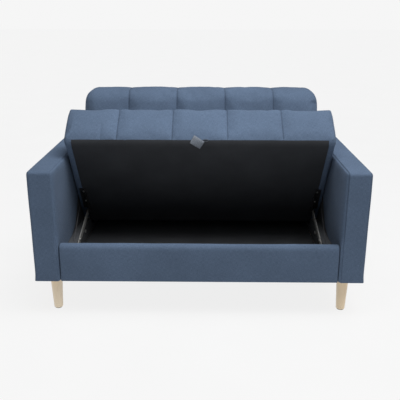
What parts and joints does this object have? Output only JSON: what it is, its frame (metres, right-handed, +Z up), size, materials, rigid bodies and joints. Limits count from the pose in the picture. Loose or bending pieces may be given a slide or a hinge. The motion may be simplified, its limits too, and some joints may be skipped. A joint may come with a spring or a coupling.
{
  "type": "storage sofa with lift-up seat",
  "caption": "Compact two-seat sofa with padded square arms, a channelled back and one channelled seat that lifts on friction hinges over a lined storage well.",
  "frame": {"origin": "on the floor, under the middle of the sofa's width and depth", "axes": "+X across the sofa towards the viewer's right hand when facing its front, +Y from the front to the back, +Z up"},
  "size_m": [1.22, 0.74, 0.763],
  "materials": {
    "upholstery": "matt woven blue-grey cloth over padding",
    "lining": "thin black non-woven cloth",
    "frame_board": "raw sawn pine and thin plywood",
    "leg_wood": "pale clear-lacquered wood",
    "hinge_steel": "black zinc-coated steel strip",
    "bright_steel": "zinc-plated fasteners",
    "glide_plastic": "moulded glide",
    "tag_cloth": "bare woven label blank"
  },
  "bodies": {
    "base": {"back_bottom_rail": "frame_board", "back_cushion": "upholstery", "back_front_board": "frame_board", "back_rear_cover": "upholstery", "back_top_rail": "frame_board", "bottom_dust_cover": "lining", "box_floor": "frame_board", "box_lining": "lining", "floor_front_batten": "frame_board", "floor_rear_batten": "frame_board", "front_left_leg": "leg_wood", "front_panel_board": "frame_board", "front_panel_cover": "upholstery", "front_right_leg": "leg_wood", "hinge_bolts": "bright_steel", "hinge_box_screws": "bright_steel", "left_arm_bottom_rail": "frame_board", "left_arm_cover": "upholstery", "left_arm_front_post": "frame_board", "left_arm_inner_board": "frame_board", "left_arm_outer_board": "frame_board", "left_arm_rear_post": "frame_board", "left_arm_top_rail": "frame_board", "left_back_cheek": "frame_board", "left_back_post": "frame_board", "left_box_rail": "frame_board", "left_hinge_box_arm": "hinge_steel", "leg_bolts": "bright_steel", "leg_glides": "glide_plastic", "leg_plates": "bright_steel", "rail_bolts": "bright_steel", "rear_board": "frame_board", "rear_left_leg": "leg_wood", "rear_right_leg": "leg_wood", "right_arm_bottom_rail": "frame_board", "right_arm_cover": "upholstery", "right_arm_front_post": "frame_board", "right_arm_inner_board": "frame_board", "right_arm_outer_board": "frame_board", "right_arm_rear_post": "frame_board", "right_arm_top_rail": "frame_board", "right_back_cheek": "frame_board", "right_back_post": "frame_board", "right_box_rail": "frame_board", "right_hinge_box_arm": "hinge_steel", "side_linings": "lining"},
    "seat": {"seat_cushion": "upholstery", "seat_front_rail": "frame_board", "seat_rear_rail": "frame_board", "left_seat_rail": "frame_board", "right_seat_rail": "frame_board", "seat_centre_rail": "frame_board", "seat_deck": "frame_board", "seat_lining": "lining", "blank_tag": "tag_cloth", "left_hinge_seat_arm": "hinge_steel", "right_hinge_seat_arm": "hinge_steel", "hinge_seat_screws": "bright_steel"}
  },
  "joints": [
    {"name": "seat_lift", "type": "hinge", "parent": "base", "child": "seat", "pos_m": [0, 0.036, 0.274], "axis": [-1, 0, 0], "range_deg": [-55.5, 0]}
  ]
}
